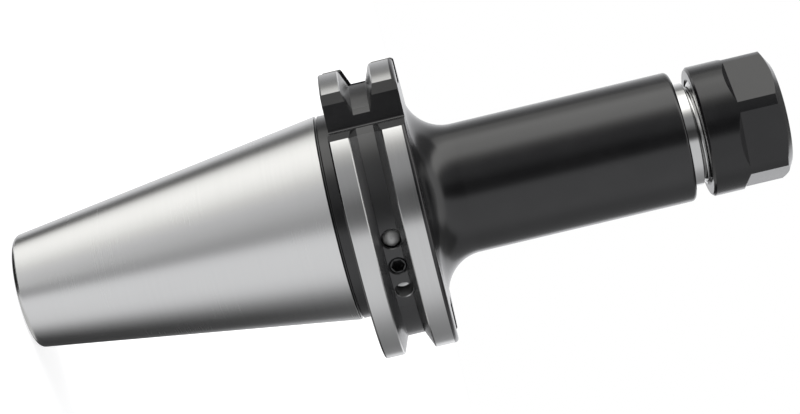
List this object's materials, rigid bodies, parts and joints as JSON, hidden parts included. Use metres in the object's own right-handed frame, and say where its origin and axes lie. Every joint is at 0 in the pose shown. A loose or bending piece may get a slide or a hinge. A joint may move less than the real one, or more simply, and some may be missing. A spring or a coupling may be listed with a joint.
{
  "type": "collet chuck holder",
  "caption": "Steep taper tool holder with a gripper flange, a long slim neck, a slotted spring collet and a hexagonal clamping nut.",
  "frame": {"origin": "centre of the taper's gauge line, where the taper is 44.45 mm across", "axes": "+Z along the tool's axis towards the clamping nut, +X through the middle of the shallow drive slot"},
  "size_m": [0.0612, 0.0636, 0.1643],
  "materials": {
    "holder_steel": "black oxide, satin; taper, rims and nose ground bright",
    "nut_steel": "black oxide, turned",
    "collet_steel": "ground bright",
    "screw_steel": "black oxide",
    "ball_steel": "polished"
  },
  "bodies": {
    "holder": {"holder_body": "holder_steel", "closing_screws": "screw_steel", "sealing_balls": "ball_steel"},
    "collet": {"collet": "collet_steel"},
    "nut": {"clamping_nut": "nut_steel"},
    "stop_screw": {"stop_screw": "screw_steel"}
  },
  "joints": [
    {"name": "collet_feed", "type": "slide", "parent": "holder", "child": "collet", "axis": [0, 0, 1], "range_m": [0, 0.0072]},
    {"name": "nut_turn", "type": "hinge", "parent": "collet", "child": "nut", "pos_m": [0, 0, 0.0871], "axis": [0, 0, 1], "range_deg": [0, 1728]},
    {"name": "stop_screw_feed", "type": "slide", "parent": "holder", "child": "stop_screw", "axis": [0, 0, 1], "range_m": [0, 0.008]}
  ],
  "couplings": [
    {"joint": "collet_feed", "follows": "nut_turn", "m_per_rad": 0.00023873}
  ]
}
